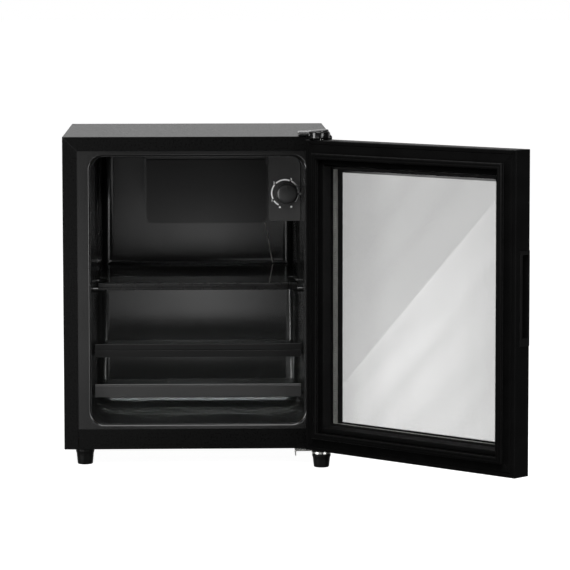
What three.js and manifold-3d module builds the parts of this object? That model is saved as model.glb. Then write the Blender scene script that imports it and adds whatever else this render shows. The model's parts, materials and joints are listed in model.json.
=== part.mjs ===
// Tabletop drinks cooler: a foamed steel cabinet on four feet, with a double-glazed door on the right.
// Millimetres, +Z up. While it is built the cabinet's front face lies in the plane y = 0, its middle in
// x = 0 and the floor in z = 0. The door is built closed and its group then swings it open. The last
// group moves everything so that the origin is under the middle of the whole object's box.
import * as THREE from 'three';
import Module from 'manifold-3d';
import { mergeVertices } from 'three/addons/utils/BufferGeometryUtils.js';

const wasm = await Module();
wasm.setup();

// ---------------------------------------------------------------- driving dimensions
const GAP = 0.3; // clearance between parts that touch
const ROUND = 24; // sides of a round part

const WIDTH = 420;
const DEPTH = 420;
const BASE = 25; // underside of the cabinet
const TOP = 515; // top of the cabinet
const STEEL = 1.2; // sheet thickness
const FLANGE_SIDE = 22.5; // folded front flange of the steel shell
const FLANGE_TOP = 22;
const RAIL_TOP = 57; // top edge of the bottom front rail

const MOUTH_HALF = 167; // front opening of the liner
const MOUTH_LOW = 64.5;
const MOUTH_HIGH = 483.5;
const MOUTH_RADIUS = 22;
const LINER_BACK = 375; // depth of the upper compartment
const HUMP_FRONT = 215; // front of the hump over the compressor
const HUMP_TOP = 277;
const WALL_DRAFT = 0.0227; // the side walls close in towards the back
const FLOOR_DRAFT = 0.008;
const LINER_THICK = 2;
const LINER_FILLET = 14;

const BAY_FRONT = 254; // compressor bay, open to the back
const BAY_TOP = 238;

const PIVOT_X = 192;
const PIVOT_Y = -27;
const PIN_RADIUS = 3.2;
const DOOR_OPEN = 135; // degrees
const DOOR_GAP = 10; // between the cabinet's face and the closed door
const DOOR_THICK = 34;
const DOOR_LOW = 27;
const DOOR_HIGH = 511.5;
const FRAME_WIDTH = 29.5;
const PANE_THICK = 4;
const PANE_EDGE = 30.3; // from the door's edge to the panes' edges
const INNER_PANE_DEPTH = 14; // below the door's inner face
const BEAD_TOP_WIDTH = 38;
const BEAD_FOOT_WIDTH = 41;
const SPACER_IN = 43;
const SPACER_OUT = 36;

const FLAP = { left: -80.5, right: 109.5, low: 372, high: 472.6, front: 107.5, back: 112.5, radius: 10 };
const FLAP_PIVOT = { y: 110, z: 470, radius: 2 };
const EVAPORATOR = { left: -78, right: 108, low: 380, high: 478, front: 124, back: 335, wall: 1.5 };
const HOUSING = { left: 113.8, low: 375, front: 105, back: 190, wall: 2.2, radius: 5 };
const KNOB = { x: 142, z: 419, radius: 17.4, front: 88, back: 104.6 };

const FOOT_TOP = BASE - GAP;
const BRACKET_TOP = BASE - GAP;
const BRACKET_THICK = 3;
const STUD_RADIUS = 4;
const FEET = { side: 178, front: 18, rear: 395 };

const COMPRESSOR = { x: 40, y: 335, side: 66, ahead: 34 };
const COIL = { y: 427.6, radius: 2.4, half: 165, low: 268, pitch: 30, passes: 8 };

const UPPER_SHELF = { half: 157, front: 28, back: 358, low: HUMP_TOP + GAP, thick: 5 };
const LOWER_SHELVES = [
  { name: 'middle', face_low: 167.5, groove: 178.2 },
  { name: 'lower', face_low: 104, groove: 122 },
];
const TRIM = { half: 162, front: 24, height: 20.5, thick: 4, slot_depth: 18, lip: 1.6 };
const PLATE = { half: 157, back: 205, thick: 4 };

// sizes that follow
const LINER_FACE = STEEL + 0.4; // the liner's flange lies behind the steel flange
const LINER_FLANGE = { half: 200, low: 45, high: 504 };
const RAIL_RETURN = 6;
const INSIDE_HALF = WIDTH / 2 - STEEL - GAP;
const INSIDE_BACK = DEPTH - STEEL - GAP;

// The middle of the whole object's box, with the door open
const ORIGIN_X = 138.96;
const ORIGIN_Y = 53.79;

// ---------------------------------------------------------------- materials
const paint = (color, roughness, metalness) => ({ color, roughness, metalness });
const LOOK = {
  shell: paint(0x141414, 0.42, 0.3),
  galvanised: paint(0x9a9c9b, 0.45, 0.9),
  liner: paint(0x26282a, 0.5, 0),
  foam: paint(0xd8c88a, 0.9, 0),
  black_plastic: paint(0x101010, 0.38, 0),
  gloss_plastic: paint(0x0a0a0a, 0.15, 0),
  frame: paint(0x121212, 0.4, 0),
  rubber: paint(0x1b1b1b, 0.75, 0),
  glass: paint(0xd6dedd, 0.05, 0),
  aluminium: paint(0xb9bab8, 0.35, 0.9),
  compressor: paint(0x0d0d0d, 0.3, 0.4),
  copper: paint(0xb0643a, 0.3, 0.9),
  white_plastic: paint(0xe6e6e2, 0.5, 0),
};

// ---------------------------------------------------------------- solids
function solid(source) {
  const geometry = source.clone();
  geometry.deleteAttribute('normal');
  geometry.deleteAttribute('uv');
  const merged = mergeVertices(geometry, 1e-4);
  const kept = [];
  const index = merged.index.array;
  for (let i = 0; i < index.length; i += 3) {
    const [a, b, c] = [index[i], index[i + 1], index[i + 2]];
    if (a !== b && b !== c && c !== a) kept.push(a, b, c);
  }
  return new wasm.Manifold(new wasm.Mesh({
    numProp: 3,
    vertProperties: new Float32Array(merged.attributes.position.array),
    triVerts: new Uint32Array(kept),
  }));
}

const join = (...parts) => parts.reduce((sum, part) => sum.add(part));
const cut = (body, ...tools) => tools.reduce((rest, tool) => rest.subtract(tool), body);

function box(x0, x1, y0, y1, z0, z1) {
  const geometry = new THREE.BoxGeometry(x1 - x0, y1 - y0, z1 - z0);
  geometry.translate((x0 + x1) / 2, (y0 + y1) / 2, (z0 + z1) / 2);
  return solid(geometry);
}

function cylinder(axis, centre, radius, from, to, end_radius = radius, sides = ROUND) {
  const geometry = new THREE.CylinderGeometry(end_radius, radius, to - from, sides);
  geometry.translate(0, (from + to) / 2, 0);
  if (axis === 'x') geometry.rotateZ(-Math.PI / 2).translate(0, centre[0], centre[1]);
  if (axis === 'y') geometry.translate(centre[0], 0, centre[1]);
  if (axis === 'z') geometry.rotateX(Math.PI / 2).translate(centre[0], centre[1], 0);
  return solid(geometry);
}

function polygon(points) {
  return new THREE.Shape(points.map(([x, y]) => new THREE.Vector2(x, y)));
}

function rounded(x0, x1, y0, y1, radius) {
  const shape = new THREE.Shape();
  shape.absarc(x1 - radius, y0 + radius, radius, -Math.PI / 2, 0);
  shape.absarc(x1 - radius, y1 - radius, radius, 0, Math.PI / 2);
  shape.absarc(x0 + radius, y1 - radius, radius, Math.PI / 2, Math.PI);
  shape.absarc(x0 + radius, y0 + radius, radius, Math.PI, Math.PI * 1.5);
  return shape;
}

function extrusion(shape, length, segments = 5, steps = 1) {
  const options = { depth: length, bevelEnabled: false, curveSegments: segments, steps };
  return new THREE.ExtrudeGeometry(shape, options);
}

// a shape drawn in x and z, pushed along y
function along_y(shape, y0, y1, segments) {
  const geometry = extrusion(shape, y1 - y0, segments);
  return solid(geometry.rotateX(Math.PI / 2).translate(0, y1, 0));
}

// a shape drawn in x and y, pushed along z
function along_z(shape, z0, z1, segments) {
  return solid(extrusion(shape, z1 - z0, segments).translate(0, 0, z0));
}

// a shape drawn in y and z, pushed along x
function along_x(shape, x0, x1, segments) {
  const turn = new THREE.Matrix4().makeBasis(
    new THREE.Vector3(0, 1, 0),
    new THREE.Vector3(0, 0, 1),
    new THREE.Vector3(1, 0, 0),
  );
  return solid(extrusion(shape, x1 - x0, segments).applyMatrix4(turn).translate(x0, 0, 0));
}

// a profile of radius and height, turned about an upright axis
function turned(points, x, y, sides = ROUND) {
  const profile = points.map(([radius, z]) => new THREE.Vector2(radius, z));
  const geometry = new THREE.LatheGeometry(profile, sides);
  return solid(geometry.rotateX(Math.PI / 2).translate(x, y, 0));
}

// a route through points whose corners are rounded by short chords
function eased(points, bend, chords = 4) {
  const at = points.map((point) => new THREE.Vector3(...point));
  const knots = [at[0]];
  for (let i = 1; i < at.length - 1; i += 1) {
    const start = at[i].clone().sub(at[i].clone().sub(at[i - 1]).setLength(bend));
    const end = at[i].clone().add(at[i + 1].clone().sub(at[i]).setLength(bend));
    const curve = new THREE.QuadraticBezierCurve3(start, at[i], end);
    for (let k = 0; k <= chords; k += 1) knots.push(curve.getPoint(k / chords));
  }
  knots.push(at[at.length - 1]);
  return knots;
}

// a curve that gives its own knots, so that straight stretches take one step each
class Route extends THREE.Curve {
  constructor(knots) {
    super();
    this.knots = knots;
  }

  number(u) {
    return Math.round(u * (this.knots.length - 1));
  }

  getPoint(u) {
    return this.knots[this.number(u)].clone();
  }

  getPointAt(u) {
    return this.getPoint(u);
  }

  getTangentAt(u) {
    const i = this.number(u);
    const next = this.knots[Math.min(i + 1, this.knots.length - 1)];
    return next.clone().sub(this.knots[Math.max(i - 1, 0)]).normalize();
  }
}

function tube(knots, radius, sides = 8) {
  const corner = (_, i) => [
    radius * Math.cos((2 * Math.PI * i) / sides),
    radius * Math.sin((2 * Math.PI * i) / sides),
  ];
  const section = polygon(Array.from({ length: sides }, corner));
  const options = { extrudePath: new Route(knots), steps: knots.length - 1, bevelEnabled: false };
  return solid(new THREE.ExtrudeGeometry(section, options));
}

// ---------------------------------------------------------------- named parts
function part(name, body, look) {
  const made = body.getMesh();
  const geometry = new THREE.BufferGeometry();
  geometry.setAttribute('position', new THREE.BufferAttribute(made.vertProperties, 3));
  geometry.setIndex(new THREE.BufferAttribute(made.triVerts, 1));
  const mesh = new THREE.Mesh(geometry, new THREE.MeshStandardMaterial(look));
  mesh.name = name;
  return mesh;
}

// ---------------------------------------------------------------- liner
// Space inside the liner, grown by `grow` on every side. Its walls close in towards the back, and its
// lower half is shortened by the hump over the compressor.
function cavity(grow) {
  const front = -20;
  const back = LINER_BACK + grow;
  const hump = HUMP_FRONT + grow;
  const step = HUMP_TOP - grow;
  const fillet = LINER_FILLET + grow;
  const edge = 6 - grow;

  const mouth = extrusion(
    rounded(
      -MOUTH_HALF - grow,
      MOUTH_HALF + grow,
      MOUTH_LOW - grow,
      MOUTH_HIGH + grow,
      MOUTH_RADIUS + grow,
    ),
    back - front,
    6,
  ).rotateX(Math.PI / 2).translate(0, back, 0);
  const at = mouth.attributes.position;
  const middle = (MOUTH_LOW + MOUTH_HIGH) / 2;
  for (let i = 0; i < at.count; i += 1) {
    at.setX(i, at.getX(i) - Math.sign(at.getX(i)) * WALL_DRAFT * at.getY(i));
    at.setZ(i, at.getZ(i) - Math.sign(at.getZ(i) - middle) * FLOOR_DRAFT * at.getY(i));
  }

  const floor = MOUTH_LOW - grow + FLOOR_DRAFT * HUMP_FRONT;
  const ceiling = MOUTH_HIGH + grow - FLOOR_DRAFT * LINER_BACK;
  const side = new THREE.Shape();
  side.moveTo(front, MOUTH_LOW - grow);
  side.lineTo(0, MOUTH_LOW - grow);
  side.absarc(hump - fillet, floor + fillet, fillet, -Math.PI / 2, 0);
  side.absarc(hump + edge, step - edge, edge, Math.PI, Math.PI / 2, true);
  side.absarc(back - fillet, step + fillet, fillet, -Math.PI / 2, 0);
  side.absarc(back - fillet, ceiling - fillet, fillet, 0, Math.PI / 2);
  side.lineTo(0, MOUTH_HIGH + grow);
  side.lineTo(front, MOUTH_HIGH + grow);

  const plan = (depth) => {
    const wide = MOUTH_HALF + grow;
    const half = wide - WALL_DRAFT * depth;
    const shape = new THREE.Shape();
    shape.moveTo(-wide - 1, front);
    shape.lineTo(wide + 1, front);
    shape.lineTo(wide, 0);
    shape.absarc(half - fillet, depth - fillet, fillet, 0, Math.PI / 2);
    shape.absarc(fillet - half, depth - fillet, fillet, Math.PI / 2, Math.PI);
    shape.lineTo(-wide, 0);
    return shape;
  };
  const lower = along_z(plan(hump), 0, step - edge, 4);
  const upper = along_z(plan(back), step - edge, TOP, 4);
  return solid(mouth)
    .intersect(along_x(side, -WIDTH / 2, WIDTH / 2, 4))
    .intersect(join(lower, upper));
}

// the rounded lip of the liner's mouth, cut from its front edge
function mouth_lip() {
  const depth = 5;
  const spread = 4;
  const shape = rounded(-MOUTH_HALF, MOUTH_HALF, MOUTH_LOW, MOUTH_HIGH, MOUTH_RADIUS);
  const geometry = extrusion(shape, depth, 6, 3).rotateX(Math.PI / 2).translate(0, depth, 0);
  const at = geometry.attributes.position;
  const middle = (MOUTH_LOW + MOUTH_HIGH) / 2;
  for (let i = 0; i < at.count; i += 1) {
    const out = spread * (1 - at.getY(i) / depth) ** 2;
    at.setX(i, at.getX(i) + Math.sign(at.getX(i)) * out);
    at.setZ(i, at.getZ(i) + Math.sign(at.getZ(i) - middle) * out);
  }
  return solid(geometry.translate(0, LINER_FACE, 0));
}

function shelf_ribs() {
  const length = [TRIM.front + TRIM.slot_depth + 1, PLATE.back - 2];
  const ribs = [];
  for (const shelf of LOWER_SHELVES) {
    const top = shelf.face_low + TRIM.lip;
    for (const side of [-1, 1]) {
      const [x0, x1] = [side * (PLATE.half - 6), side * (MOUTH_HALF - 2)];
      ribs.push(box(Math.min(x0, x1), Math.max(x0, x1), ...length, top - 4, top));
    }
  }
  return join(...ribs);
}

function liner() {
  const flange = box(-LINER_FLANGE.half, LINER_FLANGE.half, LINER_FACE, LINER_FACE + LINER_THICK,
    LINER_FLANGE.low, LINER_FLANGE.high);
  const skin = cut(cavity(LINER_THICK), box(-WIDTH, WIDTH, -DEPTH, LINER_FACE, 0, TOP));
  const shell = cut(join(skin, flange), cavity(0), mouth_lip());
  const ribs = shelf_ribs().intersect(cavity(LINER_THICK / 2));
  return join(shell, ribs);
}

// ---------------------------------------------------------------- cabinet
function shell() {
  const [half, inside] = [WIDTH / 2, WIDTH / 2 - STEEL];
  return cut(
    box(-half, half, 0, DEPTH, BASE, TOP),
    box(-inside, inside, STEEL, DEPTH + 1, 0, TOP - STEEL),
    box(FLANGE_SIDE - half, half - FLANGE_SIDE, -1, STEEL + 1, 0, TOP - FLANGE_TOP),
  );
}

function bottom_rail() {
  const half = WIDTH / 2 - FLANGE_SIDE - GAP;
  return join(
    box(-half, half, 0, STEEL, BASE, RAIL_TOP),
    box(-half, half, 0, RAIL_RETURN, BASE, BASE + STEEL),
  );
}

function stud_holes(extra) {
  const up = BASE + 8 + extra;
  const spots = [[-FEET.side, FEET.front], [-FEET.side, FEET.rear], [FEET.side, FEET.rear]];
  const holes = spots.map((spot) => cylinder('z', spot, STUD_RADIUS + extra, BASE - 5, up));
  return join(...holes);
}

function foam() {
  const half = INSIDE_HALF;
  return cut(
    box(-half, half, LINER_FACE + LINER_THICK + GAP, INSIDE_BACK, BASE + STEEL + GAP, TOP - STEEL - GAP),
    cavity(LINER_THICK + GAP),
    box(-WIDTH, WIDTH, BAY_FRONT - GAP, DEPTH + 1, 0, BAY_TOP + GAP),
    stud_holes(0.6),
  );
}

function base_pan() {
  const pan = box(-INSIDE_HALF, INSIDE_HALF, RAIL_RETURN + GAP, BAY_FRONT - GAP, BASE, BASE + STEEL);
  return cut(pan, stud_holes(GAP));
}

function bay_plate() {
  return join(
    box(-INSIDE_HALF, INSIDE_HALF, BAY_FRONT, BAY_FRONT + STEEL, BASE, BAY_TOP),
    box(-INSIDE_HALF, INSIDE_HALF, BAY_FRONT, INSIDE_BACK, BAY_TOP - STEEL, BAY_TOP),
  );
}

function back_panel() {
  return box(-INSIDE_HALF, INSIDE_HALF, DEPTH - STEEL, DEPTH, BAY_TOP + 2 * GAP, TOP - STEEL - GAP);
}

function foot(x, y, top, stud_top) {
  const rim = 14.6;
  const body = turned([[0, 0], [11, 0], [12, 1], [rim, top - 2], [rim - 0.6, top], [0, top]], x, y);
  return join(body, cylinder('z', [x, y], STUD_RADIUS, top - 1, stud_top));
}

// ---------------------------------------------------------------- machinery in the rear bay
function compressor_base() {
  const [front, back] = [BAY_FRONT + STEEL + 2, INSIDE_BACK];
  const lip = 10;
  const plate = join(
    box(-INSIDE_HALF, INSIDE_HALF, front, back, BASE, BASE + STEEL),
    box(-INSIDE_HALF, INSIDE_HALF, front, front + STEEL, BASE, BASE + lip),
    box(-INSIDE_HALF, INSIDE_HALF, back - STEEL, back, BASE, BASE + lip),
  );
  return cut(plate, stud_holes(GAP));
}

function compressor_can(grow) {
  const profile = [
    [0, 50], [30, 52], [50, 60], [56, 75], [56, 118], [58.5, 119], [58.5, 123],
    [56, 124], [54, 160], [45, 178], [28, 188], [0, 191],
  ];
  const grown = profile.map(([radius, z]) => [radius ? radius + grow : 0, z]);
  return turned(grown, COMPRESSOR.x, COMPRESSOR.y, 32);
}

function compressor() {
  const { x, y, side, ahead } = COMPRESSOR;
  const legs = rounded(x - side - 12, x + side + 12, y - ahead - 12, y + ahead + 12, 12);
  const stand = cylinder('z', [x, y], 32, 45, 56);
  return join(compressor_can(0), stand, along_z(legs, 43.9, 46.9, 4));
}

function grommet(x, y) {
  const low = BASE + STEEL + GAP;
  const high = 43.6;
  const profile = [[0, low], [9, low], [9, low + 6], [7, low + 8], [9, low + 10], [9, high], [0, high]];
  return turned(profile, x, y, 16);
}

function relay_cover() {
  const { x, y } = COMPRESSOR;
  const cover = along_y(rounded(x - 92, x - 40, 84, 150, 6), y - 24, y + 24, 3);
  return cut(cover, compressor_can(0.5));
}

function discharge_pipe() {
  const { x, y } = COMPRESSOR;
  const points = [
    [x + 56, y, 150], [x + 90, y, 150], [x + 90, y, 215],
    [x + 90, COIL.y, 215], [COIL.half + 15, COIL.y, 225], [COIL.half + 15, COIL.y, 252],
  ];
  return tube(eased(points, 8), 2.4);
}

function suction_pipe() {
  const { x, y } = COMPRESSOR;
  const points = [[x, y + 56.5, 140], [x, 403, 140], [x - 120, 403, 140], [x - 120, 403, 236]];
  return tube(eased(points, 9), 3.5);
}

function condenser_coil() {
  const knots = [[COIL.half + 15, COIL.low - 15], [COIL.half + 15, COIL.low - 8]];
  knots.push([COIL.half + 9, COIL.low - 1.5], [COIL.half, COIL.low]);
  for (let pass = 0; pass < COIL.passes; pass += 1) {
    const side = pass % 2 ? 1 : -1;
    const z = COIL.low + pass * COIL.pitch;
    knots.push([side * COIL.half, z]);
    if (pass === COIL.passes - 1) break;
    for (let k = 1; k <= 6; k += 1) {
      const angle = (Math.PI * k) / 6;
      const out = (COIL.pitch / 2) * Math.sin(angle);
      knots.push([side * (COIL.half + out), z + (COIL.pitch / 2) * (1 - Math.cos(angle))]);
    }
  }
  return tube(knots.map(([x, z]) => new THREE.Vector3(x, COIL.y, z)), COIL.radius);
}

function condenser_plate() {
  const [half, low, high] = [185, 256, 496];
  const [front, back] = [423.6, 424.8];
  let plate = box(-half, half, front, back, low, high);
  for (let pass = 0; pass < COIL.passes - 1; pass += 1) {
    const z = COIL.low + (pass + 0.5) * COIL.pitch;
    for (const x of [-125, 0, 125]) {
      plate = plate.subtract(box(x - 50, x + 50, front - 1, back + 1, z - 4, z + 4));
    }
  }
  for (const x of [-half + 12, half - 12]) {
    for (const z of [low + 8, high - 6]) {
      plate = plate.add(cylinder('y', [x, z], 5, DEPTH + GAP, back, 5, 12));
    }
  }
  return plate;
}

function cord_gland() {
  const at = [-150, 247];
  return cut(
    cylinder('y', at, 8, DEPTH + GAP, DEPTH + 5, 8, 16),
    cylinder('y', at, 3.6, DEPTH - 1, DEPTH + 6, 3.6, 16),
  );
}

// ---------------------------------------------------------------- hinges
function bottom_bracket() {
  const [low, top] = [BRACKET_TOP - BRACKET_THICK, BRACKET_TOP];
  const plate = join(
    box(153, 209, -8, 45, low, top),
    box(PIVOT_X - 15, PIVOT_X + 15, PIVOT_Y, 0, low, top),
    cylinder('z', [PIVOT_X, PIVOT_Y], 15, low, top, 15, 32),
    box(151.6, 153.2, -8, 30, low - 7, top),
  );
  return cut(plate, cylinder('z', [PIVOT_X, PIVOT_Y], STUD_RADIUS + GAP, low - 1, top + 1));
}

function bottom_pin() {
  const low = BRACKET_TOP + GAP;
  return join(
    cylinder('z', [PIVOT_X, PIVOT_Y], PIN_RADIUS, low, DOOR_LOW + 13),
    cylinder('z', [PIVOT_X, PIVOT_Y], 7, low, low + 1.5),
  );
}

function top_bracket() {
  const [low, top] = [TOP + GAP, TOP + GAP + 2.5];
  return join(
    box(165, 203, 6, 38, low, top),
    box(PIVOT_X - 10, PIVOT_X + 10, PIVOT_Y, 7, low, top),
    cylinder('z', [PIVOT_X, PIVOT_Y], 12, low, top),
    cylinder('z', [PIVOT_X, PIVOT_Y], PIN_RADIUS, DOOR_HIGH - 13, low + 1),
  );
}

// the outside of the cover over the top hinge, or with a wall thickness taken off, its inside
function cap_form(wall) {
  const low = DOOR_HIGH + 1.1 - wall;
  const rear = along_z(rounded(158 + wall, 207 - wall, -2 + wall, 42 - wall, 6 - wall), TOP + GAP - wall,
    522.5 - wall, 4);
  const neck = box(174 + wall, 208 - wall, PIVOT_Y, 8, TOP + GAP - wall, 525.5 - wall);
  const boss = turned([
    [0, low], [17.5 - wall, low], [17.5 - wall, 524 - wall], [16 - wall, 526.6 - wall],
    [12 - wall, 528 - wall], [0, 528.6 - wall],
  ], PIVOT_X, PIVOT_Y, 32);
  return join(rear, neck, boss);
}

function hinge_cap() {
  const nib = cylinder('z', [PIVOT_X + 16.4, PIVOT_Y + 2], 3, DOOR_HIGH + 1.1, TOP + 3, 3, 12);
  return cut(join(cap_form(0), nib), cap_form(1.6));
}

// ---------------------------------------------------------------- inside the compartment
function evaporator() {
  const { left, right, low, high, front, back, wall } = EVAPORATOR;
  return cut(
    along_y(rounded(left, right, low, high, 8), front, back, 3),
    along_y(rounded(left + wall, right - wall, low + wall, high - wall, 6.5), front - 1, back - wall, 3),
  );
}

function evaporator_frame() {
  const [left, right] = [FLAP.left - 4.3, FLAP.right + 4];
  const [front, back] = [FLAP.back + 1.7, EVAPORATOR.front - GAP];
  const ring = cut(
    box(left, right, front, back, FLAP.low, EVAPORATOR.high + 1),
    along_y(rounded(EVAPORATOR.left + 6, EVAPORATOR.right - 6, 386, 466, 8), front - 1, back + 1, 3),
  );
  const ear = (x0, x1) => box(x0, x1, FLAP.front - 1, back, FLAP_PIVOT.z - 5, FLAP_PIVOT.z + 5);
  const bore = cylinder('x', [FLAP_PIVOT.y, FLAP_PIVOT.z], FLAP_PIVOT.radius + 0.1, left - 1, right + 1);
  return cut(join(ring, ear(left, FLAP.left - GAP), ear(FLAP.right + GAP, right)), bore);
}

function freezer_flap() {
  const { left, right, low, high, front, back, radius } = FLAP;
  const outline = new THREE.Shape();
  outline.absarc(right - radius, low + radius, radius, -Math.PI / 2, 0);
  outline.lineTo(right, high);
  outline.lineTo(left, high);
  outline.absarc(left + radius, low + radius, radius, Math.PI, Math.PI * 1.5);
  const plate = along_y(outline, front, back, 5);
  const hollow = along_y(
    rounded(left + 3, right - 3, low + 3, high - 9, radius - 3),
    front + 2,
    back + 1,
    4,
  );
  const pins = cylinder('x', [FLAP_PIVOT.y, FLAP_PIVOT.z], FLAP_PIVOT.radius, left - 3.6, right + 3.6);
  return join(cut(plate, hollow), pins);
}

function thermostat_housing() {
  const { left, low, front, back, wall, radius } = HOUSING;
  const outer = along_y(rounded(left, MOUTH_HALF + 8, low, MOUTH_HIGH + 8, radius), front, back, 4);
  const inner = along_y(
    rounded(left + wall, MOUTH_HALF + 8, low + wall, MOUTH_HIGH + 8, radius - wall),
    front + wall,
    back + 1,
    4,
  );
  return cut(
    outer.intersect(cavity(-0.6)),
    inner.intersect(cavity(-0.6 - wall)),
    cylinder('y', [KNOB.x, KNOB.z], 3.6, front - 1, front + wall + 1),
  );
}

function thermostat() {
  const front = HOUSING.front + HOUSING.wall + 3;
  return join(
    along_y(rounded(KNOB.x - 18, KNOB.x + 14, KNOB.z - 15, KNOB.z + 15, 3), front, front + 26, 2),
    cylinder('y', [KNOB.x, KNOB.z], 3, KNOB.front + 6, front + 1),
  );
}

function knob() {
  const { x, z, radius, front, back } = KNOB;
  const at = [x, z];
  const body = join(
    cylinder('y', at, radius - 5, front, front + 1.5, radius - 2.2, 32),
    cylinder('y', at, radius - 2.2, front + 1.4, front + 4, radius - 0.6, 32),
    cylinder('y', at, radius - 0.6, front + 3.9, back, radius, 32),
  );
  return cut(
    body,
    cylinder('y', at, 3.4, front + 5.5, back + 1),
    box(x - 0.9, x + 0.9, front - 1, front + 1, z + 5, z + radius),
  );
}

function sensor_tube() {
  const points = [
    [138, 137.5, 402], [138, 215, 396], [126, 330, 388], [112, 367, 376],
    [113, 370.5, 349], [116, 371, 337], [126, 371, 284],
  ];
  return tube(eased(points, 5, 3), 1.6);
}

function upper_shelf() {
  const { half, front, back, low, thick } = UPPER_SHELF;
  return along_z(rounded(-half, half, front, back, 12), low, low + thick, 4);
}

function shelf_peg(side, y) {
  const radius = 4.5;
  const wall = MOUTH_HALF - WALL_DRAFT * y - 0.5;
  const span = [side * (UPPER_SHELF.half - 8), side * wall].sort((a, b) => a - b);
  return cylinder('x', [y, UPPER_SHELF.low - GAP - radius], radius, ...span, radius, 16);
}

function shelf_plate(shelf) {
  const low = shelf.face_low + TRIM.lip + GAP;
  const front = TRIM.front + TRIM.thick + GAP;
  return box(-PLATE.half, PLATE.half, front, PLATE.back, low, low + PLATE.thick);
}

// the strip along a lower shelf's front edge: a tall face with a clip behind its foot for the glass
function shelf_trim(shelf) {
  const { front, thick, height, lip, slot_depth } = TRIM;
  const [low, back] = [shelf.face_low, front + slot_depth];
  const slot = low + lip + PLATE.thick + 2 * GAP;
  const groove = shelf.groove;
  const section = polygon([
    [front, low], [back, low], [back, low + lip], [front + thick, low + lip], [front + thick, slot],
    [back, slot], [back, slot + lip], [front + thick, slot + lip], [front + thick, low + height],
    [front + 1, low + height], [front + 0.2, low + height - 1], [front + 0.2, groove + 0.5],
    [front + 1, groove], [front, groove - 0.5],
  ]);
  return along_x(section, -TRIM.half, TRIM.half);
}

// ---------------------------------------------------------------- door
// A door profile is drawn by its distance from the door's edge and its depth below the inner face.
// `edge` names the side of the door that it runs along, and its ends are mitred.
function door_member(edge, section) {
  const [half, middle] = [WIDTH / 2, (DOOR_LOW + DOOR_HIGH) / 2];
  const height = DOOR_HIGH - DOOR_LOW;
  const edges = {
    hinge: { inward: [-1, 0, 0], at: [half, middle] },
    handle: { inward: [1, 0, 0], at: [-half, middle] },
    top: { inward: [0, 0, -1], at: [0, DOOR_HIGH] },
    bottom: { inward: [0, 0, 1], at: [0, DOOR_LOW] },
  };
  const { inward, at } = edges[edge];
  const across = new THREE.Vector3(...inward);
  const deeper = new THREE.Vector3(0, -1, 0);
  const along = new THREE.Vector3().crossVectors(across, deeper);
  const upright = inward[0] !== 0;
  const length = upright ? height : WIDTH;
  const geometry = extrusion(polygon(section), length, 1).translate(0, 0, -length / 2);
  geometry.applyMatrix4(new THREE.Matrix4().makeBasis(across, deeper, along));
  geometry.translate(at[0], -DOOR_GAP, at[1]);

  const reach = 60;
  const nip = GAP / Math.SQRT2;
  const [x0, x1, z0, z1] = [-half, half, DOOR_LOW, DOOR_HIGH];
  const wedges = {
    hinge: [
      [x1, z0 + nip], [x1, z1 - nip],
      [x1 - reach, z1 - reach - nip], [x1 - reach, z0 + reach + nip],
    ],
    handle: [
      [x0, z1 - nip], [x0, z0 + nip],
      [x0 + reach, z0 + reach + nip], [x0 + reach, z1 - reach - nip],
    ],
    top: [
      [x1 - nip, z1], [x0 + nip, z1],
      [x0 + reach + nip, z1 - reach], [x1 - reach - nip, z1 - reach],
    ],
    bottom: [
      [x0 + nip, z0], [x1 - nip, z0],
      [x1 - reach - nip, z0 + reach], [x0 + reach + nip, z0 + reach],
    ],
  };
  const wedge = along_y(polygon(wedges[edge]), -DOOR_GAP - DOOR_THICK - 1, 0);
  return solid(geometry).intersect(wedge);
}

// a band all round the door, between two distances from its edge and two depths
function door_band(from, to, shallow, deep, radius = 0) {
  const outline = (inset, round) => {
    const sides = [
      -WIDTH / 2 + inset, WIDTH / 2 - inset, DOOR_LOW + inset, DOOR_HIGH - inset,
    ];
    return rounded(...sides, Math.max(round, 0.01));
  };
  const [y0, y1] = [-DOOR_GAP - deep, -DOOR_GAP - shallow];
  return cut(
    along_y(outline(from, radius), y0, y1, 4),
    along_y(outline(to, radius - (to - from)), y0 - 1, y1 + 1, 4),
  );
}

function pane(depth) {
  const half = WIDTH / 2 - PANE_EDGE;
  const near = -DOOR_GAP - depth;
  return box(-half, half, near - PANE_THICK, near, DOOR_LOW + PANE_EDGE, DOOR_HIGH - PANE_EDGE);
}

const FRAME_SECTION = [
  [0, 1.2], [1.2, 0], [6, 0], [6.4, 0.8], [7.4, 0.8], [7.8, 0], [FRAME_WIDTH, 0],
  [FRAME_WIDTH, DOOR_THICK], [1.5, DOOR_THICK], [0, DOOR_THICK - 1.5],
];
const BEAD_SECTION = [
  [FRAME_WIDTH + GAP, 1], [FRAME_WIDTH + 1.6, 0], [BEAD_TOP_WIDTH - 1, 0], [BEAD_TOP_WIDTH, 1],
  [BEAD_FOOT_WIDTH, INNER_PANE_DEPTH - GAP], [FRAME_WIDTH + GAP, INNER_PANE_DEPTH - GAP],
];
const HANDLE = { low: 231, high: 358, shallow: 15, deep: 32, in: 22, rim: 1, wall: 1.4 };

function handle_pocket(grow) {
  const edge = -WIDTH / 2;
  const [y0, y1] = [-DOOR_GAP - HANDLE.deep - grow, -DOOR_GAP - HANDLE.shallow + grow];
  return box(edge - 1, edge + HANDLE.in + grow, y0, y1, HANDLE.low - grow, HANDLE.high + grow);
}

function handle_rim(grow) {
  const edge = -WIDTH / 2;
  const [y0, y1] = [-DOOR_GAP - HANDLE.deep - 1.2 - grow, -DOOR_GAP - HANDLE.shallow + 4 + grow];
  const [z0, z1] = [HANDLE.low - 10 - grow, HANDLE.high + 5 + grow];
  return box(edge - GAP, edge + HANDLE.rim - GAP + grow, y0, y1, z0, z1);
}

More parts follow.
